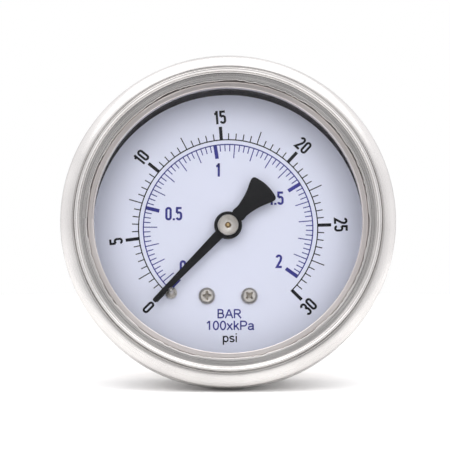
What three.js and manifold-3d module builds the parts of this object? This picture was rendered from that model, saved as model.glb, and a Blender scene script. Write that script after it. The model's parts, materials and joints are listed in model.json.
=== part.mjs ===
// A 63 mm dial pressure gauge with a Bourdon tube and a centre-back pipe connection.
// Millimetres. +Y runs from the window to the pipe end and +Z is up, so the dial faces -Y.
// The origin is the centre of the pipe end. Depths are measured along +Y from the bezel's front,
// and angles from +X towards +Z, as the dial is read.
import * as THREE from "three";
import { mergeVertices } from "three/addons/utils/BufferGeometryUtils.js";
import Module from "manifold-3d";

const wasm = await Module();
wasm.setup();

// Driving dimensions
const LENGTH = 54.5; // bezel front to pipe end
const BEZEL_RADIUS = 34.25;
const BEZEL_SHEET = 0.9;
const SHOULDER = { radius: 31.5, depth: 3.5, wide: 2.75, deep: 2.45 }; // the bezel's rounded front edge
const BEZEL_EDGE = 1.05; // rounding of its rolled back edge
const CASE_RADIUS = 31;
const CASE_WALL = 0.8;
const CASE_BACK = 30; // depth of the case's outside back face
const CASE_EDGE = 3.5; // rounding of the back edge
const RIM_RADIUS = 33; // the case's wider front, gripped by the bezel
const RIM_FRONT = 3.7;
const RIM_BACK = 8.2;
const LIP_RADIUS = 27.4; // clear opening of the window ring
const WINDOW = { radius: 29, front: 3.7, thickness: 2.4 };
const GASKET_RADIUS = 28.1; // inside wall of the gasket
const DIAL = { radius: 29.2, front: 13, thickness: 0.5 };
const DIAL_SCREW = { x: 4.4, z: -14.4, head: 1.73, hole: 1.1 };
const STOP_PIN = { along: 18.1, aside: 1.12, radius: 0.46, collar: 1.18, height: 5.7 };
const POINTER = { angle: 226, front: 9.7, thickness: 0.5, tip: 22.05, hub: 2.9 };
const SHAFT_RADIUS = 0.55;

const MODULE = 0.2; // gear tooth size
const PINION_TEETH = 10;
const SECTOR_TEETH = 100; // teeth that a full circle would have
const SECTOR_SWING = 27; // the 270 degree sweep of the pointer over the gear ratio
const PIVOT_ANGLE = -54; // direction of the sector's pivot from the pinion
const GEAR = { front: 18.5, thickness: 1.2 };
const TAIL = { angle: -43.5, length: 5.2 };
const LINK = { angle: 60, length: 8, front: 17.2, thickness: 0.9 };
const FRONT_PLATE = { front: 15.4, thickness: 1 };
const BACK_PLATE = { front: 21.4, thickness: 1 };

const TUBE = { radius: 22, depth: 21, thick: 2.2, wide: 9, wall: 0.35, root: 256, tip: -12 };
const SOCKET = { front: 22.7, back: 28.9, half: 6.5, top: 19.8, bottom: -24 };
const PEDESTAL = { front: 13.8, half: 6.6, top: -12.4, bottom: -25 };
const SQUARE = { across: 14, corner: 9.2, front: 28.9, flats: 30.8, back: 41 };
const THREAD = { pitch: 1.411, height: 1, end: 6.63, largest: 6.86, start: 42.2 };
const BORE = { mouth: 2.5, mouthEnd: 43.5, passage: 1.6, passageEnd: 23.7 };
const SEAL = { radius: 11.3, section: 0.65, groove: 0.9, depth: 28.2 };
const CASE_SCREW_Z = 16.5;
const PLUG = { depth: 20, hole: 4, neck: 3.7, head: 5.4, inner: 27.6, rim: 31.3, top: 33.4 };
const TOUCH = 0.05; // gap left between two flat faces that touch

const ROUND = 36; // sides of the large turned parts
const SMALL = 12; // sides of pins, holes and screws

const rad = THREE.MathUtils.degToRad;
const polar = (radius, degrees) => [
  radius * Math.cos(rad(degrees)),
  radius * Math.sin(rad(degrees)),
];
const add = (a, b) => [a[0] + b[0], a[1] + b[1]];

const CENTRE = [0, 0];
const PIVOT = polar((MODULE * (PINION_TEETH + SECTOR_TEETH)) / 2, PIVOT_ANGLE);
const TAIL_PIN = add(PIVOT, polar(TAIL.length, TAIL.angle));
const TIP_PIN = add(TAIL_PIN, polar(LINK.length, LINK.angle));
const PILLARS = { left: [-7.5, -1.5], right: [10.5, 3.5] };
const MOVEMENT_SCREWS = { lower: [-4.5, -9.5], upper: [-4.5, 5] };
const STUD = polar(5.75, 100);
const STOP_AT = add(
  polar(STOP_PIN.along, POINTER.angle),
  polar(STOP_PIN.aside, POINTER.angle + 90),
);

// Solids

function solid(geometry) {
  geometry.deleteAttribute("normal");
  geometry.deleteAttribute("uv");
  const merged = mergeVertices(geometry, 1e-4);
  const corners = merged.index.array;
  const kept = [];
  for (let i = 0; i < corners.length; i += 3) {
    const [a, b, c] = corners.slice(i, i + 3);
    if (a !== b && b !== c && c !== a) kept.push(a, b, c);
  }
  const vertProperties = merged.attributes.position.array;
  return new wasm.Manifold(
    new wasm.Mesh({ numProp: 3, vertProperties, triVerts: new Uint32Array(kept) }),
  );
}

function geometryOf(body) {
  const mesh = body.getMesh();
  const geometry = new THREE.BufferGeometry();
  geometry.setAttribute("position", new THREE.BufferAttribute(mesh.vertProperties, 3));
  geometry.setIndex(new THREE.BufferAttribute(mesh.triVerts, 1));
  geometry.computeVertexNormals();
  return geometry;
}

const join = (first, ...others) => others.reduce((made, next) => made.add(next), first);
const cut = (first, ...others) => others.reduce((made, next) => made.subtract(next), first);

// A solid of revolution about the Y axis from [radius, depth] points, closed on itself or on the axis.
function turned(profile, sides = ROUND) {
  let area = 0;
  profile.forEach(([r, y], i) => {
    const [nextR, nextY] = profile[(i + 1) % profile.length];
    area += r * nextY - nextR * y;
  });
  const ordered = area > 0 ? [...profile] : [...profile].reverse();
  const onAxis = ordered.findIndex(([r]) => r === 0);
  if (onAxis < 0) {
    ordered.push(ordered[0]);
  } else {
    const last = ordered.findLastIndex(([r]) => r === 0);
    const start = last === onAxis + 1 ? last : onAxis;
    ordered.push(...ordered.splice(0, start));
  }
  return solid(new THREE.LatheGeometry(ordered.map(([r, y]) => new THREE.Vector2(r, y)), sides));
}

// Points along an elliptical arc in a profile, from one angle to another.
function arc(r, y, radiusR, radiusY, from, to, steps) {
  const points = [];
  for (let i = 0; i <= steps; i++) {
    const angle = rad(from + ((to - from) * i) / steps);
    points.push([r + radiusR * Math.cos(angle), y + radiusY * Math.sin(angle)]);
  }
  return points;
}

// A round bar or hole along Y.
function rod(radius, front, back, [x, z] = CENTRE, sides = SMALL) {
  const bar = turned([[0, front], [radius, front], [radius, back], [0, back]], sides);
  return bar.translate([x, 0, z]);
}

function box([x0, x1], [y0, y1], [z0, z1]) {
  const geometry = new THREE.BoxGeometry(x1 - x0, y1 - y0, z1 - z0);
  return solid(geometry.translate((x0 + x1) / 2, (y0 + y1) / 2, (z0 + z1) / 2));
}

// A flat outline, seen as the dial is, given thickness along Y.
function sheet(outline, front, thickness) {
  const shape = new THREE.Shape(outline.map(([x, z]) => new THREE.Vector2(x, z)));
  const geometry = new THREE.ExtrudeGeometry(shape, { depth: thickness, bevelEnabled: false });
  geometry.rotateX(Math.PI / 2);
  return solid(geometry.translate(0, front + thickness, 0));
}

// A slice of a ring in the dial's plane; an inner radius of 0 gives a slice of a disc.
function slice(inner, outer, from, to, front, thickness) {
  const steps = Math.ceil(Math.abs(to - from) / 7.5);
  const edge = arc(0, 0, outer, outer, from, to, steps);
  const inside = inner > 0 ? arc(0, 0, inner, inner, to, from, steps) : [CENTRE];
  return sheet([...edge, ...inside], front, thickness);
}

// The outline of a band stretched round a set of circles given as [centre, radius].
function outlineRound(circles) {
  const points = circles.flatMap(([[x, z], radius]) => arc(x, z, radius, radius, 0, 340, 17));
  points.sort((a, b) => a[0] - b[0] || a[1] - b[1]);
  const turnsLeft = (a, b, c) =>
    (b[0] - a[0]) * (c[1] - a[1]) - (b[1] - a[1]) * (c[0] - a[0]) > 1e-6;
  const chain = (list) => {
    const kept = [];
    for (const point of list) {
      while (kept.length > 1 && !turnsLeft(kept.at(-2), kept.at(-1), point)) kept.pop();
      kept.push(point);
    }
    return kept.slice(0, -1);
  };
  return [...chain(points), ...chain([...points].reverse())];
}

// A screw with its head's underside at y = 0, its shank along +Y and a cross or slot in the head.
function screw({ head, height, shank, length, drive }) {
  const body = turned(
    [
      [0, -height],
      [head * 0.7, -height],
      [head, -height * 0.4],
      [head, 0],
      [shank, 0],
      [shank, length],
      [0, length],
    ],
    SMALL,
  );
  const half = head * (drive === "cross" ? 0.55 : 1.2);
  const thin = head * 0.13;
  const recess = [-height - 1, -height * 0.45];
  const bar = box([-half, half], recess, [-thin, thin]);
  if (drive !== "cross") return cut(body, bar);
  return cut(body, bar, box([-thin, thin], recess, [-half, half]));
}

// Case and window

function bezelRing() {
  const { radius, depth, wide, deep } = SHOULDER;
  const edge = RIM_BACK + 0.1;
  const fold = CASE_RADIUS + 0.4;
  return turned([
    [28.75, 1.45],
    [30.05, 0.45],
    [30.3, 0.1],
    [30.7, 0],
    [31.2, 0.45],
    [31.3, 0.95],
    ...arc(radius, depth, wide, deep, -90, 0, 4),
    ...arc(BEZEL_RADIUS - BEZEL_EDGE, edge, BEZEL_EDGE, BEZEL_EDGE, 0, 90, 2),
    [fold, edge + BEZEL_EDGE],
    [fold, RIM_BACK + 0.3],
    [BEZEL_RADIUS - BEZEL_SHEET, RIM_BACK + 0.3],
    ...arc(radius, depth, wide - BEZEL_SHEET, deep - BEZEL_SHEET, 0, -90, 3),
    [30.2, 1.3],
    [28.75, 2.2],
  ]);
}

function windowRing() {
  return turned([
    [LIP_RADIUS, 2.3],
    [28.55, 1.55],
    [28.55, 2.6],
    [31.2, 2.6],
    [31.2, 3.4],
    [LIP_RADIUS, 3.4],
  ]);
}

function windowDisc() {
  const back = WINDOW.front + WINDOW.thickness;
  return rod(WINDOW.radius, WINDOW.front, back, CENTRE, ROUND);
}

function windowGasket() {
  const seat = WINDOW.front + WINDOW.thickness + 0.3;
  const foot = RIM_BACK - CASE_WALL - 0.3;
  const back = DIAL.front - 0.3;
  return turned([
    [GASKET_RADIUS, back],
    [GASKET_RADIUS, seat],
    [WINDOW.radius + 0.3, seat],
    [WINDOW.radius + 0.3, WINDOW.front],
    [RIM_RADIUS - 1.1, WINDOW.front],
    [RIM_RADIUS - 1.1, foot],
    [29.9, foot],
    [29.9, back],
  ]);
}

function caseShell() {
  const inner = CASE_RADIUS - CASE_WALL;
  const bend = CASE_BACK - CASE_EDGE;
  const flat = CASE_RADIUS - CASE_EDGE;
  const insideEdge = CASE_EDGE - CASE_WALL;
  const hole = SQUARE.corner + 0.4;
  const shell = turned([
    [RIM_RADIUS, RIM_FRONT],
    [RIM_RADIUS, RIM_BACK],
    [CASE_RADIUS, RIM_BACK],
    ...arc(flat, bend, CASE_EDGE, CASE_EDGE, 0, 90, 3),
    [hole, CASE_BACK],
    [hole, CASE_BACK - CASE_WALL],
    ...arc(flat, bend, insideEdge, insideEdge, 90, 0, 2),
    [inner, RIM_BACK - CASE_WALL],
    [RIM_RADIUS - CASE_WALL, RIM_BACK - CASE_WALL],
    [RIM_RADIUS - CASE_WALL, RIM_FRONT],
  ]);
  const plugHole = rod(PLUG.hole, 0, CASE_RADIUS + 2).rotate([90, 0, 0]);
  const screwHoles = [1, -1].map((side) =>
    rod(1.75, CASE_BACK - 2, CASE_BACK + 1, [0, side * CASE_SCREW_Z]),
  );
  return cut(shell, plugHole.translate([0, PLUG.depth, 0]), ...screwHoles);
}

// Built along +Y: neck below, head above.
function fillPlug() {
  return turned(
    [
      [0, PLUG.inner],
      [PLUG.neck, PLUG.inner],
      [PLUG.neck, PLUG.rim],
      [PLUG.head, PLUG.rim],
      [PLUG.head, PLUG.top - 0.8],
      [PLUG.head - 0.8, PLUG.top],
      [0, PLUG.top],
    ],
    SMALL,
  );
}

// Dial and pointer

function dialPlate() {
  const back = DIAL.front + DIAL.thickness;
  const hole = (radius, at) => rod(radius, DIAL.front - 1, back + 1, at);
  return cut(
    rod(DIAL.radius, DIAL.front, back, CENTRE, ROUND),
    hole(2, CENTRE),
    hole(1.15, [DIAL_SCREW.x, DIAL_SCREW.z]),
    hole(1.15, [-DIAL_SCREW.x, DIAL_SCREW.z]),
    hole(0.7, STOP_AT),
  );
}

// Built with the dial's face at y = 0: a pin with a collar, riveted through the dial.
function stopPin() {
  const { radius, collar, height } = STOP_PIN;
  return turned(
    [
      [0, -height],
      [radius * 0.6, -height],
      [radius, -height + 0.25],
      [radius, -1.1],
      [collar * 0.8, -1.1],
      [collar, -0.8],
      [collar, -TOUCH],
      [0.5, -TOUCH],
      [0.5, 0.9],
      [0, 0.9],
    ],
    16,
  );
}

// Built pointing along +X.
function pointerBlade() {
  const blade = [[1.5, 1.02], [POINTER.tip - 0.35, 0.5], [POINTER.tip, 0.25]];
  const tail = [
    [-3, 1.27],
    [-4.3, 1.3],
    [-5.6, 1.55],
    [-7, 1.9],
    [-8.3, 2.42],
    [-9.4, 3.02],
    [-10, 3.28],
    [-10.7, 3.22],
    [-11.15, 2.75],
    [-11.55, 1.85],
    [-11.85, 0.9],
  ];
  const half = [...tail].reverse().concat(blade);
  const outline = [...half, ...half.map(([x, z]) => [x, -z]).reverse()];
  const { front, thickness, hub } = POINTER;
  const disc = rod(hub, front, front + thickness, CENTRE, 24);
  return cut(
    join(sheet(outline, front, thickness), disc),
    rod(1.4, front - 1, front + thickness + 1),
  );
}

// The bush that is pressed on the shaft and carries the blade.
function pointerBush() {
  const { front, thickness } = POINTER;
  const face = front - 0.6;
  return turned(
    [
      [SHAFT_RADIUS + TOUCH, face + 0.15],
      [1.75, face + 0.15],
      [1.85, face],
      [2.1, face],
      [2.18, face + 0.1],
      [2.18, front - TOUCH],
      [1.3, front - TOUCH],
      [1.3, front + thickness + TOUCH],
      [1.8, front + thickness + TOUCH],
      [1.8, front + thickness + 1.6],
      [SHAFT_RADIUS + TOUCH, front + thickness + 1.6],
    ],
    16,
  );
}

// Gears

// One tooth's outline, on a gear whose pitch circle has the given radius.
function tooth(pitchRadius, angle, { tip, root }) {
  const flank = [
    [pitchRadius - root, 0.15],
    [pitchRadius, 0.113],
    [pitchRadius + tip, 0.055],
  ];
  const degrees = ([radius, half]) => THREE.MathUtils.radToDeg(half / radius);
  return [
    ...flank.map((point) => polar(point[0], angle - degrees(point))),
    ...[...flank].reverse().map((point) => polar(point[0], angle + degrees(point))),
  ];
}

function pinionShaft() {
  const pitchRadius = (MODULE * PINION_TEETH) / 2;
  const size = { tip: 0.17, root: 0.26 };
  const outline = [];
  for (let i = 0; i < PINION_TEETH; i++) {
    outline.push(...tooth(pitchRadius, PIVOT_ANGLE + (360 / PINION_TEETH) * i, size));
  }
  return join(
    rod(SHAFT_RADIUS, POINTER.front - 0.65, BACK_PLATE.front - TOUCH),
    rod(0.4, BACK_PLATE.front - 1, BACK_PLATE.front + BACK_PLATE.thickness - 0.1),
    sheet(outline, GEAR.front - 0.3, GEAR.thickness + 0.6),
  );
}

function sectorGear() {
  const pitch = 360 / SECTOR_TEETH;
  const pitchRadius = (MODULE * SECTOR_TEETH) / 2;
  const size = { tip: 0.16, root: 0.27 };
  const contact = PIVOT_ANGLE + 180;
  const last = contact + 2.5 * pitch;
  const first = last - (Math.ceil(SECTOR_SWING / pitch) + 4) * pitch;
  const outline = [CENTRE];
  for (let angle = first; angle < last + pitch / 2; angle += pitch) {
    outline.push(...tooth(pitchRadius, angle, size));
  }
  const { front, thickness } = GEAR;
  const tailEnd = polar(TAIL.length, TAIL.angle);
  const slot = outlineRound([
    [polar(TAIL.length - 0.9, TAIL.angle), 0.66],
    [tailEnd, 0.66],
  ]);
  const body = cut(
    join(
      sheet(outline, front, thickness),
      rod(2.2, front, front + thickness, CENTRE, 24),
      sheet(outlineRound([[CENTRE, 1.5], [tailEnd, 1.3]]), front, thickness),
    ),
    rod(0.75, front - 1, front + thickness + 1),
    sheet(slot, front - 1, thickness + 2),
  );
  return body.translate([PIVOT[0], 0, PIVOT[1]]);
}

function sectorShaft() {
  const front = FRONT_PLATE.front;
  const back = BACK_PLATE.front + BACK_PLATE.thickness;
  return rod(0.7, front - 0.2, back + 0.1, PIVOT, 16);
}

// Movement

function movementPlate({ front, thickness }, lugs, holes) {
  const bosses = [[CENTRE, 3.2], [PIVOT, 2.6], [PILLARS.left, 2.4], [PILLARS.right, 2.4], ...lugs];
  const plate = sheet(outlineRound(bosses), front, thickness);
  return cut(
    plate,
    ...holes.map(([at, radius]) => rod(radius, front - 1, front + thickness + 1, at, 18)),
  );
}

function frontPlate() {
  return movementPlate(FRONT_PLATE, [[STUD, 1.2]], [
    [CENTRE, SHAFT_RADIUS + 0.07],
    [PIVOT, 0.78],
    [PILLARS.left, 0.95],
    [PILLARS.right, 0.95],
  ]);
}

function backPlate() {
  const lugs = Object.values(MOVEMENT_SCREWS).map((at) => [at, 2.3]);
  return movementPlate(BACK_PLATE, lugs, [
    [CENTRE, 0.48],
    [PIVOT, 0.78],
    [MOVEMENT_SCREWS.lower, 0.95],
    [MOVEMENT_SCREWS.upper, 0.95],
  ]);
}

function pillar(at) {
  const front = FRONT_PLATE.front + FRONT_PLATE.thickness + TOUCH;
  const post = rod(1.5, front, BACK_PLATE.front - TOUCH, at, 6);
  return cut(post, rod(0.95, front - 1, front + 3.2, at));
}

function link() {
  const { front, thickness } = LINK;
  const outline = outlineRound([[TAIL_PIN, 1.3], [TIP_PIN, 1.6]]);
  const waist = add(TAIL_PIN, polar(LINK.length / 2, LINK.angle));
  return cut(
    sheet(outline, front, thickness),
    rod(0.68, front - 1, front + thickness + 1, TAIL_PIN),
    rod(1, front - 1, front + thickness + 1, TIP_PIN),
    rod(0.5, front - 1, front + thickness + 1, waist),
  );
}

// A pin whose head sits in front of the link and whose shank reaches the lug behind it.
function linkPin(shank) {
  const length = GEAR.front + GEAR.thickness + 0.3 - LINK.front;
  return screw({ head: 1.25, height: 0.45, shank, length, drive: "slot" });
}

// A flat spiral strip from the collet to its stud.
function hairspring() {
  const inner = 1.4;
  const outer = 5.2;
  const turns = 4.5;
  const half = 0.06;
  const steps = turns * 16;
  const end = 100;
  const line = (offset) => {
    const points = [];
    for (let i = 0; i <= steps; i++) {
      const share = i / steps;
      const radius = inner + (outer - inner) * share + offset;
      points.push(polar(radius, end - 360 * turns * (1 - share)));
    }
    return points;
  };
  return sheet([...line(half), ...line(-half).reverse()], 17, 0.6);
}

function collet() {
  return turned(
    [
      [SHAFT_RADIUS + TOUCH, 16.8],
      [1.25, 16.8],
      [1.25, 17.8],
      [SHAFT_RADIUS + TOUCH, 17.8],
    ],
    16,
  );
}

// Bourdon tube and socket

function flatOval(thick, wide) {
  const end = thick / 2;
  const straight = wide / 2 - end;
  return [
    ...arc(TUBE.radius, TUBE.depth + straight, end, end, 0, 180, 3),
    ...arc(TUBE.radius, TUBE.depth - straight, end, end, 180, 360, 3),
  ];
}

function bourdonTube() {
  const { thick, wide, wall, root, tip, depth, radius } = TUBE;
  const wallRing = cut(
    turned(flatOval(thick, wide)),
    turned(flatOval(thick - 2 * wall, wide - 2 * wall)),
  );
  return wallRing.intersect(slice(0, radius * 1.5, tip, root, depth - wide, 2 * wide));
}

// Closes the moving end of the tube and reaches inwards to the link.
function tubeEndPiece() {
  const { radius, thick, wide, depth, tip } = TUBE;
  const outer = radius + thick / 2 + 1;
  const inner = radius - thick / 2 - 1;
  const capFrom = tip - 0.6;
  const cap = slice(inner, outer, capFrom, capFrom - 6.5, depth - wide / 2 - 0.3, wide + 0.6);
  const lugRoot = polar(inner + 0.9, capFrom - 3.2);
  const lug = sheet(outlineRound([[TIP_PIN, 1.4], [lugRoot, 1.2]]), GEAR.front, GEAR.thickness);
  const hole = rod(0.6, GEAR.front - 1, GEAR.front + GEAR.thickness + 1, TIP_PIN);
  return cut(join(cap, lug), hole);
}

// Tapered pipe thread drawn as rings, with a relief groove behind it.
function threadedEnd() {
  const points = [[0, SQUARE.back - 1], [6, SQUARE.back - 1], [6, THREAD.start]];
  const crestAt = (depth) => Math.min(THREAD.largest, THREAD.end + (LENGTH - depth) / 32);
  const { pitch, height } = THREAD;
  let depth = THREAD.start;
  while (depth + pitch < LENGTH - 0.6) {
    points.push([crestAt(depth) - height, depth]);
    points.push([crestAt(depth), depth + pitch / 2]);
    depth += pitch;
  }
  points.push([crestAt(depth) - height, depth]);
  points.push([crestAt(LENGTH) - height, LENGTH], [0, LENGTH]);
  return turned(points, 24);
}

// Round where it passes through the case's back, square behind it.
function wrenchSquare() {
  const { across, corner, front, flats, back } = SQUARE;
  const half = across / 2;
  const corners = turned(
    [[0, front - 1], [corner, front - 1], [corner, back - 1], [half - 0.3, back], [0, back]],
    32,
  );
  const square = box([-half, half], [front - 1, back], [-half, half]);
  return join(square.intersect(corners), rod(corner, front - 1, flats, CENTRE, 32));
}

// The pressure passage: pipe bore, a side passage in the block, and a way into the tube's root.
function passages() {
  const side = 3.2;
  const radius = 1;
  const depth = 24.5;
  const low = -21.9;
  const across = (from, to, z) =>
    rod(radius, from, to, CENTRE, 12).rotate([0, 0, -90]).translate([0, depth, z]);
  const riser = rod(radius, 0, -low, CENTRE, 12).rotate([-90, 0, 0]).translate([side, depth, 0]);
  return [
    rod(BORE.mouth, BORE.mouthEnd, LENGTH + 1, CENTRE, 24),
    rod(BORE.passage, BORE.passageEnd, BORE.mouthEnd + 1, CENTRE, 16),
    across(0, side + radius, 0),
    riser,
    across(-5.6, side + radius, low),
  ];
}

function pressureSocket() {
  const { front, back, half, top, bottom } = SOCKET;
  const { thick, wide, depth, radius, root } = TUBE;
  const groove = turned(
    [
      [SEAL.radius - SEAL.groove, SEAL.depth - 0.8],
      [SEAL.radius + SEAL.groove, SEAL.depth - 0.8],
      [SEAL.radius + SEAL.groove, back + 1],
      [SEAL.radius - SEAL.groove, back + 1],
    ],
    24,
  );
  const play = 0.4; // the tube is soldered into a pocket a little larger than itself
  const pocket = slice(
    radius - thick / 2 - play,
    radius + thick / 2 + play,
    root - 12,
    root + 0.6,
    depth - wide / 2 - play,
    wide + 2 * play,
  );
  const block = join(
    box([-half, half], [front, back], [bottom, top]),
    box([-PEDESTAL.half, PEDESTAL.half], [PEDESTAL.front, back], [PEDESTAL.bottom, PEDESTAL.top]),
    rod(SEAL.radius + 1.9, back - 2.5, back, CENTRE, 24),
    wrenchSquare(),
    threadedEnd(),
  );
  return cut(
    block,
    groove,
    pocket,
    ...passages(),
    ...[1, -1].map((side) =>
      rod(DIAL_SCREW.hole, PEDESTAL.front - 1, 20, [side * DIAL_SCREW.x, DIAL_SCREW.z]),
    ),
    ...[1, -1].map((side) => rod(1.6, front + 0.7, back + 1, [0, side * CASE_SCREW_Z])),
    ...Object.values(MOVEMENT_SCREWS).map((at) => rod(0.95, front - 1, 26.2, at)),
  );
}

function caseSeal() {
  return turned(arc(SEAL.radius, SEAL.depth, SEAL.section, SEAL.section, 0, 300, 5), 24);
}

// A throttle screw in the mouth of the bore, with a slot for its driver.
function inletRestrictor() {
  const body = rod(2.3, 45, 49, CENTRE, 24);
  const slot = box([-3, 3], [48.2, 50], [-0.35, 0.35]);
  return cut(body, rod(0.4, 44, 50, CENTRE, 12), slot);
}

// Assembly

const metal = (color, roughness) => ({ color, roughness, metalness: 1 });
const dull = (color, roughness) => ({ color, roughness, metalness: 0 });
const STEEL = metal(0xcfccc9, 0.3);
const BRASS = metal(0xb9924c, 0.35);
const NICKEL = metal(0xb8b2a6, 0.35);
const BLACK = dull(0x1c1c1e, 0.45);
const RUBBER = dull(0x18181a, 0.8);
const WHITE = dull(0xdde0ea, 0.5);
const CLEAR = { ...dull(0xffffff, 0.05), transparent: true, opacity: 0.2 };
const BRONZE = metal(0xa8763e, 0.35);

const gauge = new THREE.Group();
gauge.position.y = -LENGTH;

function piece(name, body, look, [x, z] = CENTRE, depth = 0) {
  const mesh = new THREE.Mesh(geometryOf(body), new THREE.MeshStandardMaterial(look));
  mesh.name = name;
  mesh.position.set(x, depth, z);
  gauge.add(mesh);
  return mesh;
}

piece("case_shell", caseShell(), STEEL);
piece("bezel_ring", bezelRing(), STEEL);
piece("window_ring", windowRing(), STEEL);
piece("window_gasket", windowGasket(), RUBBER);
piece("window", windowDisc(), CLEAR);
piece("fill_plug", fillPlug(), RUBBER, CENTRE, PLUG.depth).rotation.x = Math.PI / 2;

piece("dial", dialPlate(), WHITE);
const dialScrew = { head: DIAL_SCREW.head, height: 1.2, shank: 0.85, length: 5.5, drive: "cross" };
[["left", -1, 0], ["right", 1, 45]].forEach(([side, sign, turn]) => {
  const at = [sign * DIAL_SCREW.x, DIAL_SCREW.z];
  const mesh = piece("dial_screw_" + side, screw(dialScrew), NICKEL, at, DIAL.front - TOUCH);
  mesh.rotation.y = rad(turn);
});
piece("stop_pin", stopPin(), BRASS, STOP_AT, DIAL.front);

piece("pointer_blade", pointerBlade(), BLACK).rotation.y = -rad(POINTER.angle);
piece("pointer_bush", pointerBush(), NICKEL);
piece("pinion_shaft", pinionShaft(), BRASS);
piece("hairspring_collet", collet(), BRASS);
piece("hairspring", hairspring(), BRONZE);
const studFront = FRONT_PLATE.front + FRONT_PLATE.thickness + TOUCH;
piece("hairspring_stud", rod(0.45, studFront, studFront + 1.7, STUD, 12), BRASS);

piece("sector_gear", sectorGear(), BRASS);
piece("sector_shaft", sectorShaft(), STEEL);
piece("link", link(), BRASS);
piece("link_screw", linkPin(0.58), STEEL, TAIL_PIN, LINK.front - TOUCH);
piece("link_tip_pin", linkPin(0.5), STEEL, TIP_PIN, LINK.front - TOUCH);

piece("movement_front_plate", frontPlate(), BRASS);
piece("movement_back_plate", backPlate(), BRASS);
const plateScrew = { head: 1.6, height: 0.75, shank: 0.8, length: 3.8, drive: "slot" };
Object.entries(PILLARS).forEach(([side, at]) => {
  piece("movement_pillar_" + side, pillar(at), BRASS);
  piece("plate_screw_" + side, screw(plateScrew), STEEL, at, FRONT_PLATE.front - TOUCH);
});
const movementScrew = { head: 1.6, height: 0.85, shank: 0.8, length: 4.3, drive: "slot" };
Object.entries(MOVEMENT_SCREWS).forEach(([place, at]) => {
  piece("movement_screw_" + place, screw(movementScrew), STEEL, at, BACK_PLATE.front - TOUCH);
});

piece("bourdon_tube", bourdonTube(), BRONZE);
piece("tube_end_piece", tubeEndPiece(), BRASS);
piece("pressure_socket", pressureSocket(), BRASS);
piece("inlet_restrictor", inletRestrictor(), BRASS);
piece("case_seal", caseSeal(), RUBBER);
const caseScrew = { head: 2.8, height: 1.7, shank: 1.4, length: 6, drive: "cross" };
[["upper", 1], ["lower", -1]].forEach(([place, sign]) => {
  const at = [0, sign * CASE_SCREW_Z];
  const mesh = piece("case_screw_" + place, screw(caseScrew), STEEL, at, CASE_BACK + TOUCH);
  mesh.rotation.z = Math.PI;
});

const root = new THREE.Group();
root.add(gauge);
export default root;
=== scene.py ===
"""Looks of the pressure gauge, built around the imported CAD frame.

Metres; the dial faces -Y and +Z is up.
"""

import math

import bmesh
import bpy
from mathutils import Matrix, Vector, noise
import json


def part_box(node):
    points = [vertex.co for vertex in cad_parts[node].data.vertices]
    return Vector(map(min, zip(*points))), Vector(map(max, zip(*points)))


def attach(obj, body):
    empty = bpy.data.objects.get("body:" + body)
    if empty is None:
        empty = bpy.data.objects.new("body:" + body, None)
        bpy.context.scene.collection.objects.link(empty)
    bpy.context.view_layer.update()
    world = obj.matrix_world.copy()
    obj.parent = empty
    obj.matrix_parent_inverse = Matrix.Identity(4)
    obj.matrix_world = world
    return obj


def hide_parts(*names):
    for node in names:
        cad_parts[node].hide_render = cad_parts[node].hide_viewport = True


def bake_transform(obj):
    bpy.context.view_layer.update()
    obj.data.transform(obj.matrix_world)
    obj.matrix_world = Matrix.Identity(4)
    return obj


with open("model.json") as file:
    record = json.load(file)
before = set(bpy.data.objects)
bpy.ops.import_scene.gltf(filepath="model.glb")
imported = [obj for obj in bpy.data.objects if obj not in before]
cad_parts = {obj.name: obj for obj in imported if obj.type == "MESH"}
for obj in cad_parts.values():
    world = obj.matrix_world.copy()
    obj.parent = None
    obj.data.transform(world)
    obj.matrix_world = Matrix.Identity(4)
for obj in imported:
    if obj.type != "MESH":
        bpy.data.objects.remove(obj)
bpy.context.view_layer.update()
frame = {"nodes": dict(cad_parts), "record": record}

MM = 0.001


def low(node):
    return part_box(node)[0]


def high(node):
    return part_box(node)[1]


def centre(node):
    lo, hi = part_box(node)
    return (Vector(lo) + Vector(hi)) / 2


# Places taken from the frame
FRONT = low("bezel_ring")[1]  # the bezel's foremost face
BEZEL_BACK = high("bezel_ring")[1]
BEZEL_R = high("bezel_ring")[0]
WINDOW_R = high("window")[0]
DIAL_R = high("dial")[0]
DIAL_Y = low("dial")[1]
CASE_BACK = high("case_shell")[1]
RIM_R = high("case_shell")[0]
POINTER_Y = low("pointer_blade")[1]
BUSH_Y = low("pointer_bush")[1]


def deep(millimetres):
    """The Y of a depth behind the bezel's front."""
    return FRONT + millimetres * MM


def depth_of(y):
    """The depth of a Y behind the bezel's front, in mm."""
    return (y - FRONT) / MM


# The camera and the floor. The gauge lies back on its bezel and on the edge of its case.
TILT = math.radians(9.4)  # the camera is this far under the dial's axis
LEAN = math.radians(11.4)  # the floor's slope in the gauge's frame
CAMERA_DISTANCE = 0.48
LENS = 189.2
SENSOR = 36  # mm
AIM_LEFT = 0.6292 * MM  # the camera aims this far left of and under the middle of the bezel
AIM_UNDER = 1.5323 * MM
FLOOR_CONTACT = Vector((0, BEZEL_BACK - 1.7 * MM, 0.03 * MM - BEZEL_R))
FLOOR_RADIUS = 0.28


# Meshes


def new_object(name, bm, material=None):
    """Turns a bmesh into a piece of the scene."""
    mesh = bpy.data.meshes.new(name)
    bmesh.ops.recalc_face_normals(bm, faces=bm.faces)
    bm.to_mesh(mesh)
    bm.free()
    obj = bpy.data.objects.new(name, mesh)
    bpy.context.scene.collection.objects.link(obj)
    if material:
        mesh.materials.append(material)
    return obj


def smooth(obj, limit=32):
    """Smooth shading, with edges sharper than the limit in degrees kept crisp."""
    bm = bmesh.new()
    bm.from_mesh(obj.data)
    for face in bm.faces:
        face.smooth = True
    for edge in bm.edges:
        turn = edge.calc_face_angle(0.0)
        edge.smooth = turn < math.radians(limit)
    bm.to_mesh(obj.data)
    bm.free()
    return obj


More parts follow.
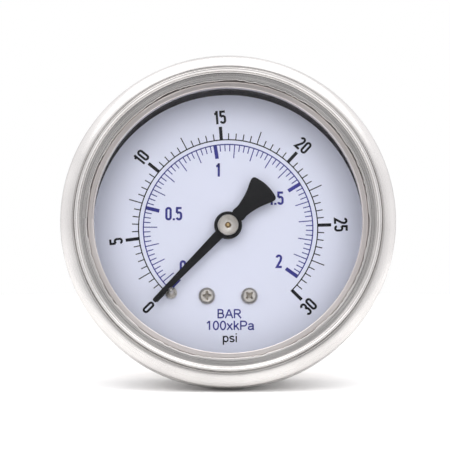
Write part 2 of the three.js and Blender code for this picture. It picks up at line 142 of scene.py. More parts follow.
def arc(cx, cy, rx, ry, start, end, steps):
    """Points along an elliptical arc, angles in degrees."""
    points = []
    for i in range(steps + 1):
        angle = math.radians(start + (end - start) * i / steps)
        points.append((cx + rx * math.cos(angle), cy + ry * math.sin(angle)))
    return points


def lathe(name, profile, material, sides=192, limit=32, shape=None):
    """Turns a closed profile of (radius, depth) points in mm about the gauge's axis."""
    bm = bmesh.new()
    rings = []
    for i in range(sides):
        angle = 2 * math.pi * i / sides
        ring = []
        for k, (radius, depth) in enumerate(profile):
            r, d = shape(k, angle, radius, depth) if shape else (radius, depth)
            spot = (r * MM * math.cos(angle), deep(d), r * MM * math.sin(angle))
            ring.append(bm.verts.new(spot))
        rings.append(ring)
    count = len(profile)
    for i in range(sides):
        here, there = rings[i], rings[(i + 1) % sides]
        for k in range(count):
            m = (k + 1) % count
            if profile[k][0] == 0 and profile[m][0] == 0:
                continue
            bm.faces.new((here[k], here[m], there[m], there[k]))
    bmesh.ops.remove_doubles(bm, verts=bm.verts, dist=1e-7)
    return smooth(new_object(name, bm, material), limit)


def bevelled(obj, width, segments=2, limit=40):
    """Rounds the sharp edges of a piece."""
    modifier = obj.modifiers.new("edges", "BEVEL")
    modifier.width = width * MM
    modifier.segments = segments
    modifier.limit_method = "ANGLE"
    modifier.angle_limit = math.radians(limit)
    modifier.harden_normals = False
    return applied(obj)


def applied(obj):
    """Replaces a piece's mesh by what its modifiers make of it."""
    graph = bpy.context.evaluated_depsgraph_get()
    made = bpy.data.meshes.new_from_object(obj.evaluated_get(graph))
    obj.modifiers.clear()
    obj.data = made
    return obj


def combine(obj, operation, *others):
    """Cuts the others out of a piece, or joins them to it, and removes them."""
    for other in others:
        modifier = obj.modifiers.new("combine", "BOOLEAN")
        modifier.operation = operation
        modifier.solver = "EXACT"
        modifier.object = other
    applied(obj)
    for other in others:
        bpy.data.objects.remove(other)
    return obj


def carve(obj, *cutters):
    return combine(obj, "DIFFERENCE", *cutters)


def place(obj, x=0, z=0, depth=None, turn=0):
    """Moves a piece's mesh, so that its object stays at the origin; turn is about Y."""
    y = 0 if depth is None else depth * MM
    move = Matrix.Translation((x * MM, y, z * MM)) @ Matrix.Rotation(math.radians(turn), 4, "Y")
    about = Matrix.Translation((0, FRONT, 0))
    obj.data.transform(about @ move @ about.inverted())
    return obj


def sheet(name, outline, front, back, material):
    """A flat outline of (x, z) points in mm given thickness between two depths."""
    bm = bmesh.new()
    verts = [bm.verts.new((x * MM, deep(front), z * MM)) for x, z in outline]
    face = bm.faces.new(verts)
    made = bmesh.ops.extrude_face_region(bm, geom=[face])
    moved = [v for v in made["geom"] if isinstance(v, bmesh.types.BMVert)]
    bmesh.ops.translate(bm, verts=moved, vec=(0, (back - front) * MM, 0))
    return new_object(name, bm, material)


def cylinder(radius, front, back, x=0, z=0, sides=64):
    """A plain round cutter along Y."""
    outline = arc(x, z, radius, radius, 0, 360 - 360 / sides, sides - 1)
    return sheet("cutter", outline, front, back, None)


# Materials


class Shader:
    """A material with a Principled shader and helpers for its nodes."""

    def __init__(self, name, colour, rough, metallic=0.0, **sockets):
        self.material = bpy.data.materials.new(name)
        self.material.use_nodes = True
        self.tree = self.material.node_tree
        self.principled = self.tree.nodes["Principled BSDF"]
        self.set(**{"Base Color": (*colour, 1), "Roughness": rough, "Metallic": metallic})
        for key, value in sockets.items():
            self.set(**{key.replace("_", " "): value})

    def set(self, **sockets):
        for key, value in sockets.items():
            self.principled.inputs[key].default_value = value

    def node(self, kind, **settings):
        made = self.tree.nodes.new("ShaderNode" + kind)
        for key, value in settings.items():
            setattr(made, key, value)
        return made

    def link(self, source, target):
        self.tree.links.new(source, target)

    def place(self):
        return self.node("TexCoord").outputs["Object"]

    def rings(self, across, along, around):
        """Coordinates that run with the turning marks: radius, depth and a little of the angle."""
        axes = self.node("SeparateXYZ")
        self.link(self.place(), axes.inputs[0])
        radius = self.node("Math", operation="POWER")
        square = self.node("Math", operation="MULTIPLY_ADD")
        first = self.node("Math", operation="MULTIPLY")
        for slot in (0, 1):
            self.link(axes.outputs["X"], first.inputs[slot])
            self.link(axes.outputs["Z"], square.inputs[slot])
        self.link(first.outputs[0], square.inputs[2])
        self.link(square.outputs[0], radius.inputs[0])
        radius.inputs[1].default_value = 0.5
        angle = self.node("Math", operation="ARCTAN2")
        self.link(axes.outputs["Z"], angle.inputs[0])
        self.link(axes.outputs["X"], angle.inputs[1])
        joined = self.node("CombineXYZ")
        for source, scale, slot in (
            (radius.outputs[0], across, "X"),
            (axes.outputs["Y"], along, "Y"),
            (angle.outputs[0], around, "Z"),
        ):
            scaled = self.node("Math", operation="MULTIPLY")
            self.link(source, scaled.inputs[0])
            scaled.inputs[1].default_value = scale
            self.link(scaled.outputs[0], joined.inputs[slot])
        return joined.outputs[0]

    def stretched(self, scale):
        """Object coordinates scaled by a different amount along each axis."""
        mapping = self.node("Mapping")
        self.link(self.place(), mapping.inputs["Vector"])
        mapping.inputs["Scale"].default_value = scale
        return mapping.outputs[0]

    def noise(self, vector, scale=1.0, detail=3.0, rough=0.5):
        made = self.node("TexNoise")
        self.link(vector, made.inputs["Vector"])
        made.inputs["Scale"].default_value = scale
        made.inputs["Detail"].default_value = detail
        made.inputs["Roughness"].default_value = rough
        return made.outputs["Fac"]

    def ramp(self, value, low, high, start=0.35, end=0.65):
        """A value spread between two numbers."""
        made = self.node("MapRange")
        self.link(value, made.inputs["Value"])
        made.inputs["From Min"].default_value = start
        made.inputs["From Max"].default_value = end
        made.inputs["To Min"].default_value = low
        made.inputs["To Max"].default_value = high
        return made.outputs["Result"]

    def tint(self, value, dark, light):
        """The base colour, varied between two shades by a value from 0 to 1."""
        made = self.node("Mix", data_type="RGBA")
        self.link(value, made.inputs["Factor"])
        made.inputs["A"].default_value = (*dark, 1)
        made.inputs["B"].default_value = (*light, 1)
        self.link(made.outputs["Result"], self.principled.inputs["Base Color"])
        return self

    def roughen(self, value, low, high):
        self.link(self.ramp(value, low, high), self.principled.inputs["Roughness"])
        return self

    def bump(self, value, strength, distance):
        made = self.node("Bump")
        made.inputs["Strength"].default_value = strength
        made.inputs["Distance"].default_value = distance * MM
        self.link(value, made.inputs["Height"])
        self.link(made.outputs["Normal"], self.principled.inputs["Normal"])
        return self


def shade(colour, factor):
    return tuple(min(1.0, c * factor) for c in colour)


def turned_metal(name, colour, rough, marks=0.3, spread=0.06, grain=9000):
    """Metal with fine concentric turning marks."""
    s = Shader(name, colour, rough, 1.0)
    fine = s.noise(s.rings(grain, grain * 0.6, 0.8), 1.0, 4.0, 0.6)
    broad = s.noise(s.stretched((90, 90, 90)), 1.0, 2.0)
    s.tint(s.ramp(broad, 0, 1), shade(colour, 0.93), shade(colour, 1.04))
    s.roughen(fine, rough - spread, rough + spread)
    s.bump(fine, marks, 0.004)
    return s.material


def sheet_metal(name, colour, rough, direction=(1, 0.06, 0.06), grain=14000, marks=0.2):
    """Rolled or blanked metal with a straight grain and small scuffs."""
    s = Shader(name, colour, rough, 1.0)
    fine = s.noise(s.stretched(tuple(grain * d for d in direction)), 1.0, 3.0, 0.6)
    broad = s.noise(s.stretched((260, 260, 260)), 1.0, 3.0)
    s.tint(s.ramp(broad, 0, 1), shade(colour, 0.85), shade(colour, 1.08))
    s.roughen(fine, rough - 0.06, rough + 0.08)
    s.bump(fine, marks, 0.004)
    return s.material


def moulded(name, colour, rough, grain=2500, marks=0.25, depth=0.02, gloss=0.3):
    """Rubber or plastic with a fine moulded grain."""
    s = Shader(name, colour, rough, Specular_IOR_Level=gloss)
    fine = s.noise(s.place(), grain, 3.0, 0.6)
    broad = s.noise(s.place(), 150, 2.0)
    s.tint(s.ramp(broad, 0, 1), shade(colour, 0.8), shade(colour, 1.25))
    s.roughen(fine, rough - 0.08, rough + 0.08)
    s.bump(fine, marks, depth)
    return s.material


def painted(name, colour, rough, variation=0.02, marks=0.08, gloss=0.5):
    """Lacquer or ink with a faint orange peel."""
    s = Shader(name, colour, rough, Specular_IOR_Level=gloss)
    peel = s.noise(s.place(), 1800, 2.0)
    broad = s.noise(s.place(), 60, 2.0)
    light = shade(colour, 1 + variation)
    s.tint(s.ramp(broad, 0, 1), shade(colour, 1 - variation), light)
    s.roughen(peel, rough - 0.04, rough + 0.04)
    s.bump(peel, marks, 0.006)
    return s.material


def clear_glass(name):
    """A thin clear pane: it reflects what the angle of view asks and lets the rest through."""
    s = Shader(name, (1, 1, 1), 0.02, 1.0)
    facing = s.node("Fresnel")
    facing.inputs["IOR"].default_value = 1.45
    smear = s.noise(s.place(), 70, 2.0)
    s.link(s.ramp(smear, 0.015, 0.05), s.principled.inputs["Roughness"])
    s.link(facing.outputs[0], s.principled.inputs["Alpha"])
    return s.material


STEEL = (0.63, 0.61, 0.595)
NICKEL = (0.70, 0.665, 0.62)
BRASS = (0.78, 0.58, 0.30)
BRONZE = (0.66, 0.43, 0.25)

LOOKS = {
    "bezel_steel": turned_metal("bezel_steel", STEEL, 0.28),
    "ring_steel": turned_metal("ring_steel", (0.645, 0.60, 0.585), 0.33),
    "case_steel": turned_metal("case_steel", shade(STEEL, 0.96), 0.34, 0.35),
    "gasket_rubber": moulded("gasket_rubber", (0.008, 0.008, 0.009), 0.75, gloss=0.06),
    "plug_rubber": moulded("plug_rubber", (0.022, 0.022, 0.022), 0.65),
    "seal_rubber": moulded("seal_rubber", (0.02, 0.02, 0.02), 0.5),
    "window_clear": clear_glass("window_clear"),
    "dial_white": painted("dial_white", (0.77, 0.795, 0.93), 0.42, 0.008),
    "ink_black": painted("ink_black", (0.012, 0.012, 0.016), 0.6, 0.15, 0.05, 0.2),
    "ink_blue": painted("ink_blue", (0.045, 0.045, 0.26), 0.5, 0.1, 0.05, 0.2),
    "pointer_black": painted("pointer_black", (0.012, 0.012, 0.013), 0.45, 0.15, 0.08, 0.15),
    "screw_nickel": sheet_metal("screw_nickel", shade(NICKEL, 1.08), 0.42),
    "stop_pin_nickel": turned_metal("stop_pin_nickel", NICKEL, 0.3),
    "bush_nickel": sheet_metal("bush_nickel", shade(NICKEL, 0.96), 0.36, (1, 1, 0.1), 6000, 0.5),
    "pinion_brass": turned_metal("pinion_brass", BRASS, 0.3),
    "movement_brass": sheet_metal("movement_brass", BRASS, 0.32),
    "sector_brass": sheet_metal("sector_brass", shade(BRASS, 0.97), 0.3, (0.06, 0.06, 1)),
    "spring_bronze": sheet_metal("spring_bronze", BRONZE, 0.3),
    "tube_bronze": turned_metal("tube_bronze", BRONZE, 0.32),
    "socket_brass": turned_metal("socket_brass", BRASS, 0.33, 0.4),
    "pin_steel": turned_metal("pin_steel", (0.6, 0.6, 0.6), 0.3),
    "screw_steel": turned_metal("screw_steel", (0.66, 0.655, 0.64), 0.3),
}

SLOT_OF = {row["node"]: row["material_slot"] for row in frame["record"]["subparts"]}


def dress_cad():
    """Gives every CAD node that stays in view its own detailed material."""
    for node, obj in frame["nodes"].items():
        look = LOOKS[SLOT_OF[node]]
        for slot in obj.material_slots:
            slot.material = look


dress_cad()


def stands_for(obj, node, body="case"):
    """The piece replaces a CAD node and moves with a body."""
    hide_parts(node)
    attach(obj, body)
    return obj


# Bezel, window and case


def make_bezel():
    """The rolled bezel: face, bead, step, shoulder, skirt and an edge turned in at the back."""
    inner, face = 28.82, 0.9
    flat_end, bead, step = 30.0, 31.04, 31.45
    shoulder, shoulder_depth = 31.4, 3.3
    outer = BEZEL_R / MM
    skirt = 2.52
    rounding = 1.05
    edge = depth_of(BEZEL_BACK) - rounding
    turned_in = 31.4
    most_roll = 0.22

    def rolled_edge(k, angle, radius, depth):
        """The bezel's inner edge is a little uneven where the sheet was rolled."""
        if radius > inner + 0.13 or depth > 2.4:
            return radius, depth
        wave = noise.noise((6 * math.cos(angle), 6 * math.sin(angle), 0.3))
        fine = noise.noise((48 * math.cos(angle), 48 * math.sin(angle), 2.1))
        return radius - min(most_roll, max(0, 0.12 + 0.3 * wave + 0.3 * fine)), depth

    profile = [
        (inner + 0.01, 2.2),
        (inner, 1.2),
        *arc(inner + 0.09, 1.02, 0.09, 0.09, 180, 270, 3),
        (29.2, face + 0.02),
        (flat_end, face),
        *arc(flat_end + 0.3, 0.65, 0.17, 0.24, 90, 40, 3),
        *arc(bead, 0.85, 0.66, 0.83, 200, 270, 12),
        *arc(bead, 0.32, 0.2, 0.3, 275, 360, 6),
        (step - 0.18, 1.25),
        (step, 1.25),
        (step + 0.02, 1.03),
        *arc(shoulder, shoulder_depth, outer - shoulder + 0.25, 2.35, -87, -24, 14),
        (outer - 0.04, skirt - 0.1),
        *[(outer, skirt + (edge - 1 - skirt) * i / 3) for i in range(4)],
        *arc(outer - rounding, edge - 1, rounding, rounding + 1, 8, 90, 8),
        (turned_in + 0.15, edge + rounding),
        (turned_in, edge + rounding - 0.15),
        (turned_in, edge + 0.2),
        (outer - 0.9, edge + 0.2),
        *arc(31.5, 3.5, outer - 0.9 - 31.5, 1.55, 0, -90, 8),
        (30.2, 1.75),
    ]
    piece = lathe("bezel", profile, LOOKS["bezel_steel"], 288, 50, rolled_edge)
    return stands_for(piece, "bezel_ring")


def make_window_ring():
    """The lip between the bezel and the dial opening, with a flange that holds the window."""
    opening, rim, flange = 27.4, 28.56, 31.2
    face, flange_front, back = 1.7, 2.6, 3.4
    profile = [
        (opening, back - 0.1),
        *arc(opening + 0.17, face + 0.25, 0.17, 0.18, 180, 270, 5),
        (opening + 0.32, face + 0.06),
        (rim - 0.26, face),
        (rim - 0.06, face - 0.01),
        (rim + 0.02, face + 0.07),
        (rim, flange_front),
        (flange, flange_front),
        (flange, back),
        (opening + 0.1, back),
    ]
    piece = lathe("window_lip_ring", profile, LOOKS["ring_steel"], 256, 50)
    return stands_for(piece, "window_ring")


def make_gasket():
    """The rubber ring: a rim round the window's edge and a wall that stands on the dial."""
    inside, outside = 28.1, 29.9
    seat = depth_of(high("window")[1]) + 0.3
    foot = seat + 0.7
    back = 12.7
    rim_inside, rim_outside, rim_front = 29.3, 31.9, 3.7
    profile = [
        (inside, back - 0.2),
        (inside, seat + 0.15),
        (inside + 0.15, seat),
        (rim_inside, seat),
        (rim_inside, rim_front),
        (rim_outside, rim_front),
        (rim_outside, foot),
        (outside, foot),
        (outside, back),
        (inside + 0.2, back),
    ]
    piece = lathe("gasket", profile, LOOKS["gasket_rubber"], 192)
    return stands_for(piece, "window_gasket")


def make_window():
    """The clear pane, with a small chamfer round both faces."""
    edge = WINDOW_R / MM
    front, back = depth_of(low("window")[1]), depth_of(high("window")[1])
    chamfer = 0.35
    profile = [
        (0, front),
        (edge - chamfer, front),
        (edge, front + chamfer),
        (edge, back - chamfer),
        (edge - chamfer, back),
        (0, back),
    ]
    piece = lathe("window_pane", profile, LOOKS["window_clear"], 192)
    return stands_for(piece, "window")


def make_case():
    """The drawn case: a wide rim, a narrower cup, a rounded corner and a back with its holes."""
    wall = 0.8
    body, corner = 31, 3.5
    middle = body - corner
    neck_hole, screw_hole, plug_hole = 9.6, 1.75, 4
    rim, rim_front = RIM_R / MM, 3.7
    back = depth_of(CASE_BACK)
    flat = back - corner
    step = depth_of(BEZEL_BACK) - 1.15
    profile = [
        (rim - wall, rim_front),
        (rim, rim_front),
        (rim, step - 0.3),
        (rim - 0.3, step),
        (body + 0.25, step),
        (body, step + 0.25),
        *[(body, step + 0.25 + (flat - step) * i / 4) for i in range(1, 4)],
        *arc(middle, flat, corner, corner, 0, 90, 12),
        (neck_hole + 0.15, back),
        (neck_hole, back - 0.15),
        (neck_hole, back - wall),
        *arc(middle, flat, corner - wall, corner - wall, 90, 0, 8),
        (body - wall, step - wall),
        (rim - wall, step - wall),
    ]
    shell = lathe("case_cup", profile, LOOKS["case_steel"], 240, 32)
    plug = centre("fill_plug")
    hole = cylinder(plug_hole, -2, 2, sides=72)
    hole.data.transform(
        Matrix.Translation((0, plug.y, body * MM))
        @ Matrix.Rotation(math.pi / 2, 4, "X")
        @ Matrix.Translation((0, -FRONT, 0))
    )
    screws = [
        cylinder(screw_hole, back - 2, back + 1, 0, centre(n).z / MM, 40)
        for n in ("case_screw_upper", "case_screw_lower")
    ]
    carve(shell, hole, *screws)
    return stands_for(smooth(shell, 32), "case_shell")


# Dial and its print


PSI_MIDDLE = 17.5
PSI_MIDDLE_ANGLE = 71.13  # where PSI_MIDDLE is, anticlockwise from +X
DEGREES_PER_PSI = -9.277
PSI_PER_BAR = 14.504
POINTER_REST = 226.0
BAR_END = 2.0
BLACK_ARC = 18.67
BLACK_SHORT, BLACK_LONG, BLACK_LABELS = 20.05, 21.5, 23.5
BLUE_ARC = 17.66
BLUE_SHORT, BLUE_LONG = 16.21, 14.77
INK = 0.03  # height of the print over the dial
INK_GAP = 0.004  # the print stops this far short of the dial's face


def psi_angle(psi):
    return PSI_MIDDLE_ANGLE + DEGREES_PER_PSI * (psi - PSI_MIDDLE)


def bar_angle(bar):
    return psi_angle(bar * PSI_PER_BAR)


class Print:
    """Flat ink on the dial, gathered into one mesh."""

    def __init__(self):
        self.bm = bmesh.new()

    def face(self, points):
        verts = [self.bm.verts.new((x * MM, DIAL_Y - INK * MM, z * MM)) for x, z in points]
        self.bm.faces.new(verts)

    def line(self, points, width, closed=False):
        """A stroke of even width along points, with mitred joints."""
        count = len(points)
        sides = []
        for i, (x, z) in enumerate(points):
            before = points[i - 1] if i or closed else None
            after = points[(i + 1) % count] if i + 1 < count or closed else None
            tangents = []
            if before:
                tangents.append(Vector((x - before[0], z - before[1])).normalized())
            if after:
                tangents.append(Vector((after[0] - x, after[1] - z)).normalized())
            tangent = sum(tangents, Vector((0, 0))).normalized()
            normal = Vector((-tangent.y, tangent.x))
            stretch = 1 / max(0.5, abs(tangent.dot(tangents[0])))
            offset = normal * width / 2 * stretch
            sides.append(((x + offset.x, z + offset.y), (x - offset.x, z - offset.y)))
        for i in range(count if closed else count - 1):
            a, b = sides[i], sides[(i + 1) % count]
            self.face([a[0], a[1], b[1], b[0]])

    def tick(self, angle, inner, outer, width):
        """A straight mark between two radii."""
        a = math.radians(angle)
        ends = [(r * math.cos(a), r * math.sin(a)) for r in (inner, outer)]
        self.line(ends, width)

    def finish(self, name, look):
        """Gives the ink its thickness and makes it a piece on the dial."""
        bmesh.ops.remove_doubles(self.bm, verts=self.bm.verts, dist=1e-8)
        made = bmesh.ops.extrude_face_region(self.bm, geom=list(self.bm.faces))
        moved = [v for v in made["geom"] if isinstance(v, bmesh.types.BMVert)]
        bmesh.ops.translate(self.bm, verts=moved, vec=(0, (INK - INK_GAP) * MM, 0))
        piece = new_object(name, self.bm, LOOKS[look])
        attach(piece, "case")
        return piece


DIGIT_HEIGHT = 2.85
DIGIT_WIDTH = 1.36
DIGIT_GAP = 0.2
STROKE = 0.47


def digit_strokes(digit):
    """Centre lines of a condensed figure in a box that starts at (0, 0)."""
    w = DIGIT_WIDTH - STROKE
    h = DIGIT_HEIGHT - STROKE
    r = w / 2
    mid = h * 0.56
    if digit == "0":
        return [(arc(r, h - r, r, r, 0, 180, 12) + arc(r, r, r, r, 180, 360, 12), True)]
    if digit == "1":
        stem = 0.52
        flag = [(-0.02, h - 0.42), (0.22, h - 0.38), (0.4, h - 0.24), (stem - 0.02, h + 0.1)]
        return [([(stem, h + STROKE / 2), (stem, -STROKE / 2)], False), (flag, False)]
    if digit == "2":
        top = arc(r, h - r, r, r, 175, 0, 12)
        return [(top + [(w, h - r - 0.12), (w * 0.9, h * 0.58), (0.03, 0), (w + 0.16, 0)], False)]
    if digit == "3":
        upper = arc(r, h - r, r, r, 170, 0, 12)
        upper += arc(r * 0.9, mid + r * 0.9, r * 1.1, r * 0.9, 0, -90, 6)
        lower = arc(r * 0.9, mid - r * 0.95, r * 1.1, r * 0.95, 90, 0, 6)
        lower += arc(r, r, r, r, 0, -170, 12)
        return [(upper, False), (lower, False)]
    if digit == "5":
        bowl = arc(r, mid - r + 0.12, r, r, 125, 0, 10) + arc(r, r, r, r, 0, -170, 12)
        return [
            ([(w + 0.1, h), (0.03, h), (0, mid + 0.02)], False),
            ([(0, mid - 0.02)] + bowl, False),
        ]
    return []


ADVANCE = {"1": 1.28, ".": 0.62}  # the widths of the narrow ones


def digits(ink, text, x, z, turn=0.0):
    """Figures centred on a place on the dial and turned anticlockwise in degrees."""
    total = sum(ADVANCE.get(c, DIGIT_WIDTH + DIGIT_GAP) for c in text) - DIGIT_GAP
    cos, sin = math.cos(math.radians(turn)), math.sin(math.radians(turn))
    pen = -total / 2 + STROKE / 2

    def put(points):
        base = -(DIGIT_HEIGHT - STROKE) / 2
        spots = [(pen + px, base + pz) for px, pz in points]
        return [(x + cos * px - sin * pz, z + sin * px + cos * pz) for px, pz in spots]

    for character in text:
        if character == ".":
            dot = [(0, -0.2), (0, 0.2)]
            ink.line(put(dot), STROKE)
        for points, closed in digit_strokes(character):
            ink.line(put(points), STROKE, closed)
        pen += ADVANCE.get(character, DIGIT_WIDTH + DIGIT_GAP)


def arc_line(ink, radius, start, end, width):
    steps = int(abs(start - end) / 2.5)
    ink.line(arc(0, 0, radius, radius, start, end, steps), width)


def print_psi():
    """The black scale: an arc, a tick each half psi and a figure each 5 psi."""
    ink = Print()
    thin, line, thick = 0.22, 0.24, 0.68
    end = psi_angle(30)
    arc_line(ink, BLACK_ARC, POINTER_REST, end, line)
    for half in range(3, 61):
        angle = psi_angle(half / 2)
        if half % 10 == 0:
            ink.tick(angle, BLACK_ARC - line / 2, BLACK_LONG, thick)
        elif half % 5 == 0:
            ink.tick(angle, BLACK_ARC, BLACK_LONG, thin)
        else:
            ink.tick(angle, BLACK_ARC, BLACK_SHORT, thin)
    ink.tick(POINTER_REST, BLACK_ARC - line / 2, BLACK_LONG, thick)
    for psi in range(0, 31, 5):
        angle = POINTER_REST - 0.6 if psi == 0 else psi_angle(psi)
        a = math.radians(angle)
        turn = angle + 90 if psi == 30 else angle - 90
        digits(ink, str(psi), BLACK_LABELS * math.cos(a), BLACK_LABELS * math.sin(a), turn)
    return ink.finish("psi_scale", "ink_black")


# Where the middle of each blue figure is
BAR_LABELS = {
    "0": (-9.39, -8.3),
    "0.5": (-11.34, 2.95),
    "1": (-2.16, 12.23),
    "1.5": (9.98, 6.22),
    "2": (10.56, -7.09),
}


def print_bar():
    """The blue scale: an arc, a tick each fortieth of a bar and its figures."""
    ink = Print()
    thin, line, thick = 0.21, 0.25, 0.76
    arc_line(ink, BLUE_ARC, POINTER_REST + 1, bar_angle(BAR_END), line)
    for step in range(4, 81):
        angle = bar_angle(step / 40)
        if step % 20 == 0:
            ink.tick(angle, BLUE_ARC + line / 2, BLUE_LONG, thick)
        elif step % 4 == 0:
            ink.tick(angle, BLUE_ARC, BLUE_LONG, thin)
        else:
            ink.tick(angle, BLUE_ARC, BLUE_SHORT, thin)
    ink.tick(POINTER_REST + 1, BLUE_ARC + line / 2, BLUE_LONG, thick)
    for text, (x, z) in BAR_LABELS.items():
        digits(ink, text, x, z)
    return ink.finish("bar_scale", "ink_blue")


# The width each letter takes and the centre lines of its strokes, for a capital one unit high.
LETTERS = {
    "B": (0.93, [
        ([(0.16, 0.06), (0.16, 0.94),
          *arc(0.5, 0.735, 0.2, 0.205, 90, -90, 8), (0.16, 0.53)], False),
        ([(0.16, 0.53), *arc(0.53, 0.295, 0.24, 0.235, 90, -90, 8), (0.1, 0.06)], False),
    ]),
    "A": (0.93, [
        ([(0.05, 0), (0.45, 0.98)], False),
        ([(0.88, 0), (0.48, 0.98)], False),
        ([(0.2, 0.35), (0.73, 0.35)], False),
    ]),
    "R": (1.0, [
        ([(0.16, 0), (0.16, 0.94),
          *arc(0.57, 0.715, 0.24, 0.225, 90, -90, 8), (0.16, 0.49)], False),
        ([(0.5, 0.49), (0.9, 0)], False),
    ]),
    "P": (0.9, [
        ([(0.16, 0), (0.16, 0.94), *arc(0.54, 0.69, 0.25, 0.25, 90, -90, 8), (0.16, 0.44)], False),
    ]),
    "1": (0.78, [
        ([(0.46, 0), (0.46, 0.99)], False),
        ([(0.18, 0.73), (0.33, 0.83), (0.43, 0.97)], False),
    ]),
    "0": (0.78, [(arc(0.385, 0.49, 0.27, 0.45, 0, 345, 23), True)]),
    "x": (0.7, [([(0.06, 0), (0.62, 0.72)], False), ([(0.06, 0.72), (0.64, 0)], False)]),
    "k": (0.7, [
        ([(0.15, 0), (0.15, 1)], False),
        ([(0.6, 0.72), (0.15, 0.28)], False),
        ([(0.32, 0.44), (0.66, 0)], False),
    ]),
    "a": (0.78, [
        ([*arc(0.37, 0.5, 0.245, 0.17, 165, 0, 9), (0.615, 0.14), (0.68, 0)], False),
        ([(0.61, 0.43), (0.34, 0.37), *arc(0.29, 0.21, 0.18, 0.155, 90, 270, 8),
          (0.48, 0.09), (0.61, 0.22)], False),
    ]),
    "p": (0.78, [
        ([(0.15, -0.29), (0.15, 0.72)], False),
        (arc(0.41, 0.36, 0.26, 0.3, 0, 340, 17), True),
    ]),
    "s": (0.68, [
        ([*arc(0.34, 0.52, 0.22, 0.14, 20, 235, 9),
          *arc(0.34, 0.205, 0.24, 0.145, 60, -160, 9)], False),
    ]),
    "i": (0.31, [([(0.155, 0), (0.155, 0.72)], False), ([(0.155, 0.87), (0.155, 1)], False)]),
}
LETTER_STROKE = 0.155  # a share of the cap height


def lettering(name, text, look, x, z, height, width):
    """A unit name in plain letters on a base line, scaled to a cap height and a width in mm."""
    ink = Print()
    across = width / sum(LETTERS[c][0] for c in text)
    pen = x - width / 2
    for character in text:
        advance, strokes = LETTERS[character]
        for points, closed in strokes:
            spots = [(pen + px * across, z + pz * height) for px, pz in points]
            ink.line(spots, LETTER_STROKE * height, closed)
        pen += advance * across
    return ink.finish(name, look)


def make_dial():
    """The plate with its holes, both scales and the names of the units."""
    edge = DIAL_R / MM
    bush_hole, pin_hole, screw_hole = 2, 0.7, 1.15
    front, back = depth_of(DIAL_Y), depth_of(high("dial")[1])
    outline = [
        (0, front),
        (edge - 0.1, front),
        (edge, front + 0.1),
        (edge, back),
        (0, back),
    ]
    plate = lathe("dial_plate", outline, LOOKS["dial_white"], 192)
    pin = centre("stop_pin")
    holes = [
        cylinder(bush_hole, front - 1, back + 1),
        cylinder(pin_hole, front - 1, back + 1, pin.x / MM, pin.z / MM, 32),
    ]
    for side in ("left", "right"):
        spot = centre("dial_screw_" + side)
        holes.append(cylinder(screw_hole, front - 1, back + 1, spot.x / MM, spot.z / MM, 40))
    carve(plate, *holes)
    stands_for(smooth(plate), "dial")
    print_psi()
    print_bar()
    lettering("unit_bar", "BAR", "ink_blue", 0.25, -19.0, 1.88, 5.2)
    lettering("unit_kpa", "100xkPa", "ink_blue", 0.38, -21.45, 1.92, 10.2)
    lettering("unit_psi", "psi", "ink_black", 0.36, -24.0, 1.85, 3.2)


# Screws, pins and the pointer


def screw_profile(head, height, shank, length):
    """A pan head over a shank, its underside at depth 0."""
    return [
        (0, -height),
        (head * 0.3, -height),
        *arc(head * 0.42, -height * 0.42, head * 0.58, height * 0.58, -90, 0, 8),
        (head, -0.08),
        (head - 0.08, 0),
        (shank, 0),
        (shank, length - 0.2),
        (shank - 0.2, length),
        (0, length),
    ]


def cross_cutters(head, height):
    """A cross recess: two tapering blades and a pointed core."""
    cutters = []
    reach, thin = head * 0.56, head * 0.14
    top, bottom = -height - 0.4, height * 0.15
    for turn in (0, 90):
        bm = bmesh.new()
        shape = []
        for depth, share in ((top, 1.0), (-height * 0.5, 0.86), (bottom, 0.3)):
            for x, z in ((-1, -1), (1, -1), (1, 1), (-1, 1)):
                along, across = reach * share, thin * (0.6 + 0.4 * share)
                shape.append(bm.verts.new((x * along * MM, deep(depth), z * across * MM)))
        for ring in (0, 4):
            for i in range(4):
                k = (i + 1) % 4
                sides = (ring + i, ring + k, ring + 4 + k, ring + 4 + i)
                bm.faces.new([shape[n] for n in sides])
        bm.faces.new(shape[0:4])
        bm.faces.new(shape[8:12])
        cutter = new_object("cutter", bm)
        cutters.append(place(cutter, turn=turn))
    core = lathe(
        "cutter",
        [(0, top), (head * 0.3, top), (head * 0.25, -height * 0.4),
         (head * 0.1, height * 0.2), (0, height * 0.3)],
        None, 24,
    )
    return cutters + [core]


def make_dial_screw(name, node, turn):
    head, height, shank, length = 1.73, 1.2, 0.85, 5.5
    screw = lathe(name, screw_profile(head, height, shank, length), LOOKS[SLOT_OF[node]], 64)
    carve(screw, *cross_cutters(head, height))
    bevelled(screw, 0.035, 2, 35)
    smooth(screw, 40)
    spot = centre(node)
    place(screw, spot.x / MM, spot.z / MM, depth_of(low(node)[1]) + height, turn)
    return stands_for(screw, node)


def make_stop_pin():
    """A pin with a rounded end and a collar that rests on the dial."""
    length, pin, collar, collar_height = 5.7, 0.46, 1.18, 1.1
    stem, stem_length = 0.5, 0.9
    touch = 0.05
    profile = [
        (0, -length),
        *arc(0, -length + 0.42, pin, 0.42, -80, 0, 8),
        (pin, -collar_height - 0.02),
        (0.8, -collar_height),
        *arc(collar - 0.2, -collar_height + 0.2, 0.2, 0.2, -90, 0, 5),
        (collar, -touch),
        (stem, -touch),
        (stem, stem_length),
        (0, stem_length),
    ]
    pin = lathe("zero_stop", profile, LOOKS["stop_pin_nickel"], 48, 40)
    spot = centre("stop_pin")
    place(pin, spot.x / MM, spot.z / MM, depth_of(DIAL_Y))
    return stands_for(pin, "stop_pin")


